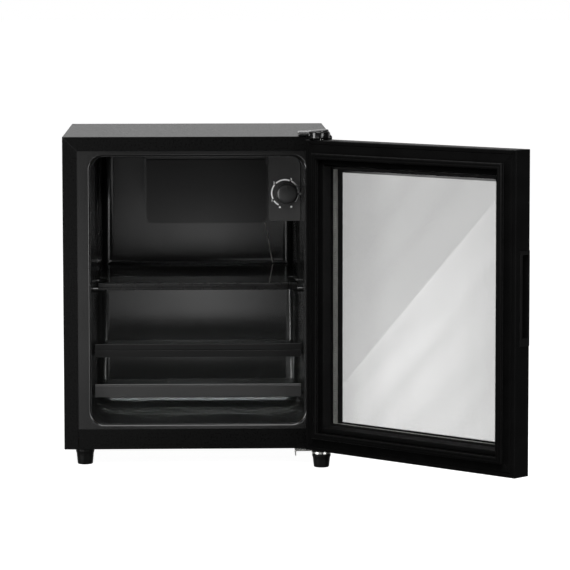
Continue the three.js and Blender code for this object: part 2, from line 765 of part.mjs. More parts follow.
function handle_insert() {
  const outside = join(
    handle_pocket(-GAP).intersect(box(-WIDTH / 2 - GAP, 0, -DEPTH, 0, 0, TOP)),
    handle_rim(0),
  );
  return cut(outside, handle_pocket(-GAP - HANDLE.wall));
}

function bush_seat(grow, end) {
  const heights = {
    top: [DOOR_HIGH - 15 - grow, DOOR_HIGH + 1],
    bottom: [DOOR_LOW - 1, DOOR_LOW + 15 + grow],
  };
  return cylinder('z', [PIVOT_X, PIVOT_Y], 6 + grow, ...heights[end]);
}

function hinge_bush(end) {
  const bore = [PIN_RADIUS + 0.1, DOOR_LOW - 2, DOOR_HIGH + 2];
  const within = box(0, WIDTH, -DEPTH, 0, DOOR_LOW, DOOR_HIGH);
  return cut(bush_seat(0, end).intersect(within), cylinder('z', [PIVOT_X, PIVOT_Y], ...bore));
}

function gasket() {
  return join(
    door_band(21.5, 28, -3, -GAP, 5),
    door_band(20, 29.5, -9.3, -2.8, 6),
    door_band(22, 27.5, -9.6, -9, 5),
  );
}

function door_parts() {
  const seats = join(bush_seat(GAP, 'top'), bush_seat(GAP, 'bottom'));
  const parts = [];
  for (const edge of ['hinge', 'handle', 'top', 'bottom']) {
    let member = door_member(edge, FRAME_SECTION).subtract(seats);
    if (edge === 'handle') member = cut(member, handle_pocket(0), handle_rim(GAP));
    parts.push(part(`door_frame_${edge}`, member, LOOK.frame));
    parts.push(part(`glazing_bead_${edge}`, door_member(edge, BEAD_SECTION), LOOK.frame));
  }
  const [near, far] = [INNER_PANE_DEPTH + PANE_THICK + GAP, DOOR_THICK - PANE_THICK - GAP];
  parts.push(
    part('inner_pane', pane(INNER_PANE_DEPTH), LOOK.glass),
    part('outer_pane', pane(DOOR_THICK - PANE_THICK), LOOK.glass),
    part('pane_spacer', door_band(SPACER_OUT, SPACER_IN, near, far), LOOK.aluminium),
    part('pane_seal', door_band(PANE_EDGE, SPACER_OUT - GAP, near, far), LOOK.rubber),
    part('door_gasket', gasket(), LOOK.rubber),
    part('handle_insert', handle_insert(), LOOK.black_plastic),
    part('top_hinge_bush', hinge_bush('top'), LOOK.white_plastic),
    part('bottom_hinge_bush', hinge_bush('bottom'), LOOK.white_plastic),
  );
  return parts;
}

// ---------------------------------------------------------------- assembly
function cabinet_parts() {
  const { x, y, side, ahead } = COMPRESSOR;
  const parts = [
    part('cabinet_shell', shell(), LOOK.shell),
    part('bottom_front_rail', bottom_rail(), LOOK.shell),
    part('liner', liner(), LOOK.liner),
    part('foam_insulation', foam(), LOOK.foam),
    part('base_pan', base_pan(), LOOK.galvanised),
    part('bay_plate', bay_plate(), LOOK.galvanised),
    part('back_panel', back_panel(), LOOK.shell),
    part('foot_front_left', foot(-FEET.side, FEET.front, FOOT_TOP, BASE + 8), LOOK.black_plastic),
    part('foot_front_right', foot(PIVOT_X, PIVOT_Y, BRACKET_TOP - BRACKET_THICK - GAP, BRACKET_TOP),
      LOOK.black_plastic),
    part('foot_rear_left', foot(-FEET.side, FEET.rear, FOOT_TOP, BASE + 8), LOOK.black_plastic),
    part('foot_rear_right', foot(FEET.side, FEET.rear, FOOT_TOP, BASE + 8), LOOK.black_plastic),
    part('compressor_base', compressor_base(), LOOK.galvanised),
    part('compressor', compressor(), LOOK.compressor),
    part('relay_cover', relay_cover(), LOOK.black_plastic),
    part('discharge_pipe', discharge_pipe(), LOOK.copper),
    part('suction_pipe', suction_pipe(), LOOK.copper),
    part('condenser_coil', condenser_coil(), LOOK.shell),
    part('condenser_plate', condenser_plate(), LOOK.shell),
    part('cord_gland', cord_gland(), LOOK.black_plastic),
    part('bottom_hinge_bracket', bottom_bracket(), LOOK.galvanised),
    part('bottom_hinge_pin', bottom_pin(), LOOK.galvanised),
    part('top_hinge_bracket', top_bracket(), LOOK.galvanised),
    part('hinge_cap', hinge_cap(), LOOK.gloss_plastic),
    part('evaporator', evaporator(), LOOK.aluminium),
    part('evaporator_frame', evaporator_frame(), LOOK.black_plastic),
    part('freezer_flap', freezer_flap(), LOOK.black_plastic),
    part('thermostat_housing', thermostat_housing(), LOOK.liner),
    part('thermostat', thermostat(), LOOK.galvanised),
    part('thermostat_knob', knob(), LOOK.black_plastic),
    part('sensor_tube', sensor_tube(), LOOK.aluminium),
    part('upper_shelf', upper_shelf(), LOOK.glass),
  ];
  for (const [name, sx, sy] of [['a', -1, -1], ['b', 1, -1], ['c', -1, 1], ['d', 1, 1]]) {
    parts.push(part(`compressor_grommet_${name}`, grommet(x + sx * side, y + sy * ahead), LOOK.rubber));
  }
  for (const [hand, sign] of [['left', -1], ['right', 1]]) {
    for (const [place, at] of [['front', 45], ['rear', 180]]) {
      parts.push(part(`shelf_peg_${place}_${hand}`, shelf_peg(sign, at), LOOK.liner));
    }
  }
  for (const shelf of LOWER_SHELVES) {
    parts.push(part(`${shelf.name}_shelf_plate`, shelf_plate(shelf), LOOK.glass));
    parts.push(part(`${shelf.name}_shelf_trim`, shelf_trim(shelf), LOOK.liner));
  }
  return parts;
}

const door = new THREE.Group();
const door_contents = new THREE.Group();
door_contents.add(...door_parts());
door_contents.position.set(-PIVOT_X, -PIVOT_Y, 0);
door.add(door_contents);
door.position.set(PIVOT_X, PIVOT_Y, 0);
door.rotation.z = THREE.MathUtils.degToRad(DOOR_OPEN);

const cooler = new THREE.Group();
cooler.add(...cabinet_parts(), door);
cooler.position.set(-ORIGIN_X, -ORIGIN_Y, 0);

const placed = new THREE.Group();
placed.add(cooler);
export default placed;
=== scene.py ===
"""Looks of a tabletop drinks cooler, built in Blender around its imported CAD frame.

Shapes are drawn in millimetres in the cabinet's own frame: its front face is the plane y = 0, x = 0 is its
middle and z = 0 the floor. Door pieces are drawn with the door closed, and SWING then turns them open.
"""
import json
import math

import bmesh
import bpy
from mathutils import Matrix, Vector

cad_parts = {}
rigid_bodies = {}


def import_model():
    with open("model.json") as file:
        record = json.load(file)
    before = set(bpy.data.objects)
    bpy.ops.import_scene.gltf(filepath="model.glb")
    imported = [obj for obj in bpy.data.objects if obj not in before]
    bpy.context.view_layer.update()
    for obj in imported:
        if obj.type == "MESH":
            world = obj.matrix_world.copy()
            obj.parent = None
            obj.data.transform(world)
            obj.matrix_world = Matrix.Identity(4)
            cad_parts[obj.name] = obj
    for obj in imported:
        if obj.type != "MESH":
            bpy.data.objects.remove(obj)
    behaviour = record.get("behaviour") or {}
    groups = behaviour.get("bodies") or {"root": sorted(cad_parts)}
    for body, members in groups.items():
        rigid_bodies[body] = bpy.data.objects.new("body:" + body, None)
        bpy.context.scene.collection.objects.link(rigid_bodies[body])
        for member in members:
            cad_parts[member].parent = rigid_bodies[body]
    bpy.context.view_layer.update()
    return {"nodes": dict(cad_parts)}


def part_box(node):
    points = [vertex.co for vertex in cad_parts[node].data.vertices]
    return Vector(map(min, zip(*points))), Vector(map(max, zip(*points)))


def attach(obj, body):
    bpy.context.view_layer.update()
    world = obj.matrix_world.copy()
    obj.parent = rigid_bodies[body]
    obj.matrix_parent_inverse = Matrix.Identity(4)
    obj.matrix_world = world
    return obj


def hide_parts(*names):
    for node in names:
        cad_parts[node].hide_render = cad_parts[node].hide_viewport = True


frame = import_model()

MM = 0.001

# ---------------------------------------------------------------- places, from the frame
shell_low, shell_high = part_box("cabinet_shell")
ORIGIN = Vector(((shell_low.x + shell_high.x) / 2, shell_low.y, 0))
TO_ROW = Matrix.Translation(ORIGIN) @ Matrix.Scale(MM, 4)


def box_mm(node):
    """(low, high) corners of a CAD node in millimetres, in the cabinet's frame."""
    low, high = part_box(node)
    return (low - ORIGIN) / MM, (high - ORIGIN) / MM


def middle_mm(node):
    low, high = box_mm(node)
    return (low + high) / 2


PIVOT = middle_mm("bottom_hinge_pin")
DOOR_OPEN = math.radians(135)
pivot_row = TO_ROW @ Vector((PIVOT.x, PIVOT.y, 0))
SWING = (
    Matrix.Translation(pivot_row)
    @ Matrix.Rotation(DOOR_OPEN, 4, "Z")
    @ Matrix.Translation(-pivot_row)
)

CABINET_LOW, CABINET_HIGH = box_mm("cabinet_shell")
HALF = CABINET_HIGH.x
DOOR_LOW, DOOR_HIGH = box_mm("door_frame_bottom")[0].z, box_mm("door_frame_top")[1].z
DOOR_FACE = -10.0  # the closed door's inner face
OUTER_PANE_FACE = DOOR_FACE - 30.0  # inner face of the outer pane
INNER_PANE_BACK = DOOR_FACE - 18.0
SPACER_INNER = 43.0  # from the door's edge to the spacer's inner side


# ---------------------------------------------------------------- forms: (vertices, faces) in millimetres
def joined(*forms):
    verts, faces = [], []
    for v, f in forms:
        start = len(verts)
        verts += list(v)
        faces += [tuple(start + i for i in face) for face in f]
    return verts, faces


def moved(form, matrix):
    return [matrix @ Vector(v) for v in form[0]], form[1]


def from_bmesh(bm):
    bm.verts.index_update()
    form = [v.co.copy() for v in bm.verts], [tuple(v.index for v in f.verts) for f in bm.faces]
    bm.free()
    return form


def rounded_box(low, high, radius=1.0, segments=3):
    low, high = Vector(low), Vector(high)
    bm = bmesh.new()
    bmesh.ops.create_cube(bm, size=1)
    size = high - low
    for v in bm.verts:
        v.co = (low + high) / 2 + Vector(a * b for a, b in zip(v.co, size))
    if radius:
        bmesh.ops.bevel(
            bm, geom=bm.edges[:], offset=radius, segments=segments, profile=0.5, affect="EDGES"
        )
    return from_bmesh(bm)


def lathe(profile, sides=48, flutes=0, flute_depth=0.0, fluted=()):
    """A closed profile of (radius, height) that starts and ends on the axis, turned about Z. Rings whose
    number is in `fluted` are scalloped."""
    verts, faces, rings = [], [], []
    for k, (radius, height) in enumerate(profile):
        if radius == 0:
            rings.append([len(verts)])
            verts.append(Vector((0, 0, height)))
            continue
        ring = []
        for i in range(sides):
            a = 2 * math.pi * i / sides
            r = radius - (flute_depth * abs(math.cos(a * flutes / 2)) if k in fluted else 0)
            ring.append(len(verts))
            verts.append(Vector((r * math.cos(a), r * math.sin(a), height)))
        rings.append(ring)
    for a, b in zip(rings, rings[1:]):
        for i in range(sides):
            j = (i + 1) % sides
            if len(a) == 1:
                faces.append((a[0], b[j], b[i]))
            elif len(b) == 1:
                faces.append((a[i], a[j], b[0]))
            else:
                faces.append((a[i], a[j], b[j], b[i]))
    return verts, faces


def about(axis, centre, form):
    """Stands a form turned about Z on another axis, at a centre."""
    turns = {
        "x": Matrix.Rotation(math.pi / 2, 4, "Y"),
        "y": Matrix.Rotation(-math.pi / 2, 4, "X"),
        "-y": Matrix.Rotation(math.pi / 2, 4, "X"),
        "z": Matrix.Identity(4),
        "-z": Matrix.Rotation(math.pi, 4, "X"),
    }
    return moved(form, Matrix.Translation(Vector(centre)) @ turns[axis])


def tube(points, radius, sides=12, squeeze=1.0):
    """A closed tube along points, with its ends capped. `squeeze` flattens it along Z."""
    at = [Vector(p) for p in points]
    verts, faces, side = [], [], None
    for k, p in enumerate(at):
        ahead = (at[min(k + 1, len(at) - 1)] - at[max(k - 1, 0)]).normalized()
        if side is None:
            side = ahead.orthogonal().normalized()
        side = (side - ahead * side.dot(ahead)).normalized()
        up = ahead.cross(side)
        for i in range(sides):
            a = 2 * math.pi * i / sides
            spoke = (side * math.cos(a) + up * math.sin(a)) * radius
            spoke.z *= squeeze
            verts.append(p + spoke)
    for k in range(len(at) - 1):
        for i in range(sides):
            j = (i + 1) % sides
            a, b = k * sides, (k + 1) * sides
            faces.append((a + i, a + j, b + j, b + i))
    faces.append(tuple(reversed(range(sides))))
    faces.append(tuple((len(at) - 1) * sides + i for i in range(sides)))
    return verts, faces


def eased(points, bend, chords=6):
    """A route through points with rounded corners."""
    at = [Vector(p) for p in points]
    route = [at[0]]
    for before, corner, after in zip(at, at[1:], at[2:]):
        start = corner + (before - corner).normalized() * bend
        end = corner + (after - corner).normalized() * bend
        for k in range(chords + 1):
            t = k / chords
            route.append(start * (1 - t) ** 2 + corner * 2 * t * (1 - t) + end * t * t)
    return route + [at[-1]]


def mitred_band(section, x0, x1, z0, z1):
    """A closed section of (inset, y) points swept round a rectangle in the x-z plane, mitred at corners."""
    corners = [(x0, z0, 1, 1), (x1, z0, -1, 1), (x1, z1, -1, -1), (x0, z1, 1, -1)]
    verts = [Vector((x + sx * w, y, z + sz * w)) for x, z, sx, sz in corners for w, y in section]
    n = len(section)
    faces = []
    for c in range(4):
        a, b = c * n, ((c + 1) % 4) * n
        for i in range(n):
            j = (i + 1) % n
            faces.append((a + i, a + j, b + j, b + i))
    return verts, faces


def door_band(section):
    """A mitred band whose insets count from the closed door's edges, and whose depths are y."""
    return mitred_band(section, -HALF, HALF, DOOR_LOW, DOOR_HIGH)


def plate_ring(outer, inner, y0, y1):
    """A flat ring between two rectangles (x0, x1, z0, z1), from y0 to y1."""
    def corner(rect, i, y):
        return Vector((rect[0 if i in (0, 3) else 1], y, rect[2 if i < 2 else 3]))
    verts = [corner(rect, i, y) for rect in (outer, inner) for y in (y0, y1) for i in range(4)]
    faces = []
    for i in range(4):
        j = (i + 1) % 4
        faces += [(i, j, 4 + j, 4 + i), (8 + j, 8 + i, 12 + i, 12 + j)]
        faces += [(j, i, 8 + i, 8 + j), (4 + i, 4 + j, 12 + j, 12 + i)]
    return verts, faces


# ---------------------------------------------------------------- materials
class Finish:
    """A procedural material. Patterns are laid in the row's own metres, so they keep their real size."""

    def __init__(self, name, colour, roughness, **sockets):
        self.material = bpy.data.materials.new(name)
        self.material.use_nodes = True
        self.nodes = self.material.node_tree.nodes
        self.links = self.material.node_tree.links
        self.shader = self.nodes["Principled BSDF"]
        self.shader.inputs["Base Color"].default_value = (*colour, 1)
        self.shader.inputs["Roughness"].default_value = roughness
        for socket, value in sockets.items():
            self.shader.inputs[socket.replace("_", " ")].default_value = value
        self.place = self.nodes.new("ShaderNodeTexCoord").outputs["Object"]
        self.normal = None

    def noise(self, size, detail=3.0, stretch=(1, 1, 1)):
        """Noise with features of about `size` metres, as a 0 to 1 value."""
        mapping = self.nodes.new("ShaderNodeMapping")
        mapping.inputs["Scale"].default_value = stretch
        texture = self.nodes.new("ShaderNodeTexNoise")
        texture.inputs["Scale"].default_value = 1 / size
        texture.inputs["Detail"].default_value = detail
        self.links.new(self.place, mapping.inputs["Vector"])
        self.links.new(mapping.outputs["Vector"], texture.inputs["Vector"])
        return texture.outputs["Fac"]

    def cells(self, size):
        texture = self.nodes.new("ShaderNodeTexVoronoi")
        texture.inputs["Scale"].default_value = 1 / size
        self.links.new(self.place, texture.inputs["Vector"])
        return texture.outputs["Distance"]

    def ramp(self, value, low, high, start=0.35, end=0.65):
        node = self.nodes.new("ShaderNodeMapRange")
        node.inputs["From Min"].default_value = start
        node.inputs["From Max"].default_value = end
        node.inputs["To Min"].default_value = low
        node.inputs["To Max"].default_value = high
        self.links.new(value, node.inputs["Value"])
        return node.outputs["Result"]

    def colours(self, value, low, high, start=0.35, end=0.65):
        node = self.nodes.new("ShaderNodeValToRGB")
        node.color_ramp.elements[0].position = start
        node.color_ramp.elements[0].color = (*low, 1)
        node.color_ramp.elements[1].position = end
        node.color_ramp.elements[1].color = (*high, 1)
        self.links.new(value, node.inputs["Fac"])
        self.links.new(node.outputs["Color"], self.shader.inputs["Base Color"])
        return self

    def rough(self, value, low, high, start=0.35, end=0.65):
        self.links.new(self.ramp(value, low, high, start, end), self.shader.inputs["Roughness"])
        return self

    def bump(self, value, depth, strength=1.0):
        """Adds relief of `depth` metres on top of the relief already there."""
        node = self.nodes.new("ShaderNodeBump")
        node.inputs["Strength"].default_value = strength
        node.inputs["Distance"].default_value = depth
        self.links.new(value, node.inputs["Height"])
        if self.normal:
            self.links.new(self.normal, node.inputs["Normal"])
        self.normal = node.outputs["Normal"]
        self.links.new(self.normal, self.shader.inputs["Normal"])
        return self


def grey(value, warmth=0.0):
    return (value * (1 + warmth), value, value * (1 - warmth))


def painted_steel():
    """Black powder coat with a fine leathery grain whose facets catch the light."""
    f = Finish("powder_coated_steel", grey(0.004), 0.3, Specular_IOR_Level=0.12)
    f.colours(f.noise(0.0018, 2), grey(0.0028), grey(0.006), 0.35, 0.7)
    f.rough(f.noise(0.003, 4), 0.25, 0.36)
    f.bump(f.noise(0.0016, 4), 0.0003, 0.8)
    return f.bump(f.cells(0.0009), 0.00008, 0.8).material


def liner_plastic(name, level, roughness, gloss=0.5):
    """Vacuum-formed polystyrene: a soft sheen, with a fine grain."""
    f = Finish(name, grey(level), roughness, Specular_IOR_Level=gloss)
    f.colours(f.noise(0.05, 2), grey(level * 0.95), grey(level * 1.04, 0.01))
    f.rough(f.noise(0.08, 1), roughness - 0.02, roughness + 0.02, 0.2, 0.8)
    return f.bump(f.noise(0.001, 1), 0.0000012, 0.5).material


def moulded_plastic(name, shade, roughness, grain=0.0008, depth=0.00003, level=0.45):
    f = Finish(name, grey(shade), roughness, Specular_IOR_Level=level)
    f.colours(f.noise(0.03, 3), grey(shade * 0.85), grey(shade * 1.15))
    f.rough(f.noise(0.012, 4), roughness - 0.05, roughness + 0.07)
    return f.bump(f.noise(grain, 2), depth, 0.6).material


def rubber(name, level):
    f = Finish(name, grey(level), 0.62, Specular_IOR_Level=0.15)
    f.colours(f.noise(0.02, 4), grey(level * 0.8), grey(level * 1.25))
    f.rough(f.noise(0.006, 3), 0.55, 0.72)
    return f.bump(f.noise(0.0012, 3), 0.00004, 0.5).material


def clear_glass(name, tint, index=1.5, wave=0.00002):
    f = Finish(name, tint, 0.0, IOR=index)
    f.shader.inputs["Transmission Weight"].default_value = 1.0
    f.bump(f.noise(0.09, 1), wave, 0.25)
    shadow = f.nodes.new("ShaderNodeLightPath").outputs["Is Shadow Ray"]
    clear = f.nodes.new("ShaderNodeBsdfTransparent")
    clear.inputs["Color"].default_value = (*tint, 1)
    mix = f.nodes.new("ShaderNodeMixShader")
    f.links.new(shadow, mix.inputs["Fac"])
    f.links.new(f.shader.outputs["BSDF"], mix.inputs[1])
    f.links.new(clear.outputs["BSDF"], mix.inputs[2])
    f.links.new(mix.outputs["Shader"], f.nodes["Material Output"].inputs["Surface"])
    return f.material


def metal(name, colour, roughness, brushed=None, spangle=0.0, metallic=1.0):
    f = Finish(name, colour, roughness, Metallic=metallic)
    dull = tuple(c * 0.8 for c in colour)
    if spangle:
        f.colours(f.cells(spangle), dull, colour, 0.1, 0.6)
        f.rough(f.cells(spangle), roughness - 0.06, roughness + 0.12, 0.1, 0.7)
    else:
        f.colours(f.noise(0.01, 4), dull, colour)
        f.rough(f.noise(0.006, 4), roughness - 0.05, roughness + 0.08)
    if brushed:
        f.bump(f.noise(0.0006, 2, brushed), 0.00002, 0.5)
    else:
        f.bump(f.noise(0.002, 3), 0.00003, 0.4)
    return f.material


def foam():
    f = Finish("polyurethane_foam", (0.62, 0.5, 0.25), 0.95)
    f.colours(f.noise(0.01, 4), (0.5, 0.39, 0.18), (0.68, 0.56, 0.3))
    return f.bump(f.cells(0.0015), 0.0004, 0.8).material


PAINT = painted_steel()
LINER = liner_plastic("liner_polystyrene", 0.005, 0.2)
# Painted light and shade: the two shelf trims are one plastic, given a darker colour on the middle trim and
# a lighter one on the lower trim for the light that falls on each.
SHADED_MIDDLE_TRIM = liner_plastic("middle_trim_plastic", 0.001, 0.36, 0.22)
LIT_LOWER_TRIM = liner_plastic("lower_trim_plastic", 0.011, 0.34)
FLAP = liner_plastic("ice_flap_plastic", 0.0015, 0.22, 0.32)
HOUSING = liner_plastic("thermostat_housing_plastic", 0.021, 0.26)
FRAME = liner_plastic("ice_box_frame_plastic", 0.01, 0.24)
ABS = moulded_plastic("door_frame_plastic", 0.005, 0.45, level=0.08)
BLACK = moulded_plastic("black_plastic", 0.003, 0.42, level=0.12)
KNOB = moulded_plastic("knob_plastic", 0.018, 0.34, 0.0006, 0.00003)
GLOSS = moulded_plastic("gloss_black_plastic", 0.004, 0.13, 0.004, 0.00001)
WHITE = moulded_plastic("white_acetal", 0.75, 0.45)
PRINT = moulded_plastic("white_print", 0.85, 0.5)
ENAMEL = moulded_plastic("black_enamel_print", 0.003, 0.7, level=0.03)
# Painted shade: a near-black for gaps, holes and recesses that are dark only because light does not reach
# into them.
GAP_SHADE = moulded_plastic("dark_gap", 0.002, 0.8)
EDGE = moulded_plastic("shelf_edge_strip", 0.002, 0.3, depth=0.000004, level=0.3)
GASKET = rubber("gasket_rubber", 0.002)
RUBBER = rubber("mount_rubber", 0.012)
BUTYL = rubber("butyl_sealant", 0.004)
INNER_GLASS = clear_glass("inner_pane_glass", (0.69, 0.69, 0.688), 1.9)
OUTER_GLASS = clear_glass("outer_pane_glass", (0.69, 0.69, 0.688), 1.1)
SHELF_GLASS = clear_glass("shelf_glass", (0.93, 0.955, 0.945), wave=0.000002)
SPACER = metal("spacer_aluminium", (0.85, 0.85, 0.81), 0.5, brushed=(8, 8, 0.3), metallic=0.7)
CAPILLARY = metal("capillary_copper", (0.4, 0.38, 0.36), 0.36)
ALUMINIUM = metal("evaporator_aluminium", (0.7, 0.71, 0.72), 0.38)
GALVANISED = metal("galvanised_steel", (0.5, 0.51, 0.52), 0.34, spangle=0.006)
BRIGHT = metal("zinc_plated_steel", (0.62, 0.62, 0.6), 0.26)
COPPER = metal("copper_tube", (0.72, 0.36, 0.2), 0.3)
BLACK_COAT = moulded_plastic("black_enamelled_steel", 0.008, 0.28, 0.002, 0.00002)
FOAM = foam()


# ---------------------------------------------------------------- pieces
def all_smooth(mesh):
    mesh.polygons.foreach_set("use_smooth", [True] * len(mesh.polygons))


def piece(name, form, body, material, replaces=(), swing=False, flat=False):
    """Makes an object from a form and lets it ride on a CAD body."""
    mesh = bpy.data.meshes.new(name)
    verts, faces = form
    mesh.from_pydata([TO_ROW @ Vector(v) for v in verts], [], faces)
    bm = bmesh.new()
    bm.from_mesh(mesh)
    bmesh.ops.recalc_face_normals(bm, faces=bm.faces)
    bm.to_mesh(mesh)
    bm.free()
    mesh.materials.append(material)
    if not flat:
        all_smooth(mesh)
        mesh.set_sharp_from_angle(angle=math.radians(38))
    obj = bpy.data.objects.new(name, mesh)
    bpy.context.scene.collection.objects.link(obj)
    if swing:
        obj.matrix_world = SWING
    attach(obj, body)
    if replaces:
        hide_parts(*replaces)
    return obj


def dress(node, material, edge):
    """Gives a CAD node its material, and softens its edges by `edge` millimetres."""
    obj = frame["nodes"][node]
    mesh = obj.data
    for i in range(len(mesh.materials)):
        mesh.materials[i] = material
    for slot in obj.material_slots:
        slot.material = material
    if "custom_normal" in mesh.attributes:
        mesh.attributes.remove(mesh.attributes["custom_normal"])
    all_smooth(mesh)
    weld = obj.modifiers.new("weld", "WELD")
    weld.merge_threshold = 0.00001
    flat = obj.modifiers.new("flatten", "DECIMATE")
    flat.decimate_type = "DISSOLVE"
    flat.angle_limit = math.radians(0.4)
    if edge:
        bevel = obj.modifiers.new("edge", "BEVEL")
        bevel.width = edge * MM
        bevel.segments = 3
        bevel.limit_method = "ANGLE"
        bevel.angle_limit = math.radians(40)
    normals = obj.modifiers.new("normals", "WEIGHTED_NORMAL")
    normals.weight = 80
    normals.keep_sharp = False


def dress_all():
    finishes = {
        PAINT: (0.5, "cabinet_shell bottom_front_rail back_panel"),
        GALVANISED: (0.35, "base_pan bay_plate compressor_base"),
        LINER: (0.4, "liner shelf_peg_front_left shelf_peg_front_right"
                " shelf_peg_rear_left shelf_peg_rear_right"),
        HOUSING: (0.9, "thermostat_housing"),
        # the middle trim carries painted shade and the lower trim painted light
        SHADED_MIDDLE_TRIM: (0.5, "middle_shelf_trim"),
        LIT_LOWER_TRIM: (0.5, "lower_shelf_trim"),
        FRAME: (0.5, "evaporator_frame"),
        FOAM: (0, "foam_insulation"),
        BLACK: (0.5, "relay_cover cord_gland"),
        FLAP: (1.4, "freezer_flap"),
        ABS: (0.45, "door_frame_hinge door_frame_handle door_frame_top door_frame_bottom"
              " glazing_bead_hinge glazing_bead_handle glazing_bead_top glazing_bead_bottom handle_insert"),
        INNER_GLASS: (0.3, "inner_pane"),
        OUTER_GLASS: (0.3, "outer_pane"),
        SHELF_GLASS: (0.3, "upper_shelf middle_shelf_plate lower_shelf_plate"),
        SPACER: (0.2, "pane_spacer"),
        BUTYL: (0, "pane_seal"),
        ALUMINIUM: (0.4, "evaporator"),
        BLACK_COAT: (0.3, "compressor condenser_coil condenser_plate"),
        COPPER: (0, "discharge_pipe suction_pipe"),
        BRIGHT: (0.4, "bottom_hinge_bracket bottom_hinge_pin top_hinge_bracket thermostat"),
        RUBBER: (0.4, "compressor_grommet_a compressor_grommet_b"
                 " compressor_grommet_c compressor_grommet_d"),
        WHITE: (0.3, "top_hinge_bush bottom_hinge_bush"),
    }
    for material, (edge, nodes) in finishes.items():
        for node in nodes.split():
            dress(node, material, edge)


def feet():
    """Each foot is a tapered rubbery pad on a threaded stud."""
    for place in ("front_left", "front_right", "rear_left", "rear_right"):
        node = f"foot_{place}"
        low, high = box_mm(node)
        centre = (low + high) / 2
        stud_top = high.z
        pad_top = 21.4 if place == "front_right" else 24.7
        profile = [
            (0, 0), (9.6, 0), (10.9, 0.25), (11.7, 0.9), (12.05, 1.9), (12.9, pad_top * 0.45),
            (13.6, pad_top * 0.72), (14.3, pad_top * 0.8), (14.55, pad_top * 0.84), (14.6, pad_top - 1.6),
            (14.3, pad_top - 0.6), (13.5, pad_top), (4, pad_top), (4, stud_top), (0, stud_top),
        ]
        form = lathe(profile, 96, flutes=24, flute_depth=0.35, fluted=(6, 7, 8, 9))
        piece(node + "_pad", about("z", (centre.x, centre.y, 0), form), "cabinet", BLACK,
              replaces=[node])


def hinge_cap():
    """The glossy cover of the top hinge: a low rear block, a body round the pivot, and a slanting lid."""
    low = box_mm("hinge_cap")[0]
    x, y, ledge = PIVOT.x - 3.8, PIVOT.y, 524.3
    rear = rounded_box((157, -3, CABINET_HIGH.z + 0.4), (207, 42, 522), 2.6, 5)
    rise = rounded_box((172, -14, CABINET_HIGH.z + 0.4), (204, 26, 523.6), 2.4, 5)
    body = lathe([
        (0, low.z), (15.6, low.z), (16.4, low.z + 0.8), (16.7, low.z + 2.4), (16.7, ledge - 1.3),
        (16.4, ledge - 0.5), (15.7, ledge), (0, ledge),
    ], 96)
    lid = lathe([
        (0, ledge - 1), (14.9, ledge - 1), (15.2, ledge + 0.1), (15.0, ledge + 0.9), (13.8, ledge + 1.7),
        (11, ledge + 2.3), (6, ledge + 2.6), (0, ledge + 2.7),
    ], 96)
    slant = Matrix.Identity(4)
    slant[2][0] = 0.1
    lid = moved(lid, Matrix.Translation((x, y, 0)) @ slant)
    nib = about("z", (PIVOT.x + 12.9, y + 3, 0), lathe(
        [(0, low.z), (2.8, low.z), (3.0, low.z + 1), (3.0, 517), (2.2, 518.2), (0, 518.6)], 32))
    piece("hinge_cap_cover", joined(rear, rise, about("z", (x, y, 0), body), lid, nib),
          "cabinet", GLOSS, replaces=["hinge_cap"])


def knob():
    """A domed knob with a fluted skirt and a raised pointer, on the thermostat's shaft."""
    low, high = box_mm("thermostat_knob")
    x, z = (low.x + high.x) / 2, (low.z + high.z) / 2
    depth = high.y - low.y
    profile = [
        (0, 0), (5, 0.08), (9.5, 0.4), (12.8, 1.0), (14.9, 1.9), (16.1, 3.1), (16.6, 4.6), (16.7, 7),
        (16.8, depth - 4), (16.9, depth - 3.4), (17.3, depth - 2.9), (17.4, depth - 0.6), (17.1, depth),
        (3.3, depth), (3.3, 6), (0, 6),
    ]
    form = lathe(profile, 144, flutes=36, flute_depth=0.45, fluted=(6, 7, 8))
    body = about("y", (x, low.y, z), form)
    pointer = rounded_box((x - 0.6, low.y - 0.2, z + 6.5), (x + 0.6, low.y + 3.0, z + 13.2), 0.35, 3)
    piece("thermostat_knob_cap", joined(body, pointer), "knob_body", KNOB,
          replaces=["thermostat_knob"])


def arc_strip(centre, radius, start, end, width_start, width_end, y, thick=0.08):
    """A flat printed arc in the x-z plane, between two angles in degrees."""
    steps = max(int(abs(end - start) / 4), 2)
    verts, faces = [], []
    for k in range(steps + 1):
        t = k / steps
        a = math.radians(start + (end - start) * t)
        half = (width_start + (width_end - width_start) * t) / 2
        for r in (radius - half, radius + half):
            for depth in (0, thick):
                verts.append(Vector((centre[0] + r * math.cos(a), y - depth, centre[1] + r * math.sin(a))))
    for k in range(steps):
        p, q = 4 * k, 4 * (k + 1)
        faces += [(p, p + 2, q + 2, q), (p + 1, q + 1, q + 3, p + 3)]
        faces += [(p, q, q + 1, p + 1), (p + 2, p + 3, q + 3, q + 2)]
    faces += [(0, 1, 3, 2), tuple(4 * steps + i for i in (0, 2, 3, 1))]
    return verts, faces


def digit(text, size):
    """The outline of one printed digit, as a flat form in the x-z plane around the origin."""
    curve = bpy.data.curves.new("digit", "FONT")
    curve.body = text
    curve.size = size
    curve.extrude = 0.04
    curve.offset = 0.12
    curve.align_x = "CENTER"
    curve.align_y = "CENTER"
    obj = bpy.data.objects.new("digit", curve)
    mesh = bpy.data.meshes.new_from_object(obj)
    form = [v.co.copy() for v in mesh.vertices], [tuple(p.vertices) for p in mesh.polygons]
    bpy.data.objects.remove(obj)
    bpy.data.curves.remove(curve)
    bpy.data.meshes.remove(mesh)
    return moved(form, Matrix.Rotation(math.pi / 2, 4, "X"))


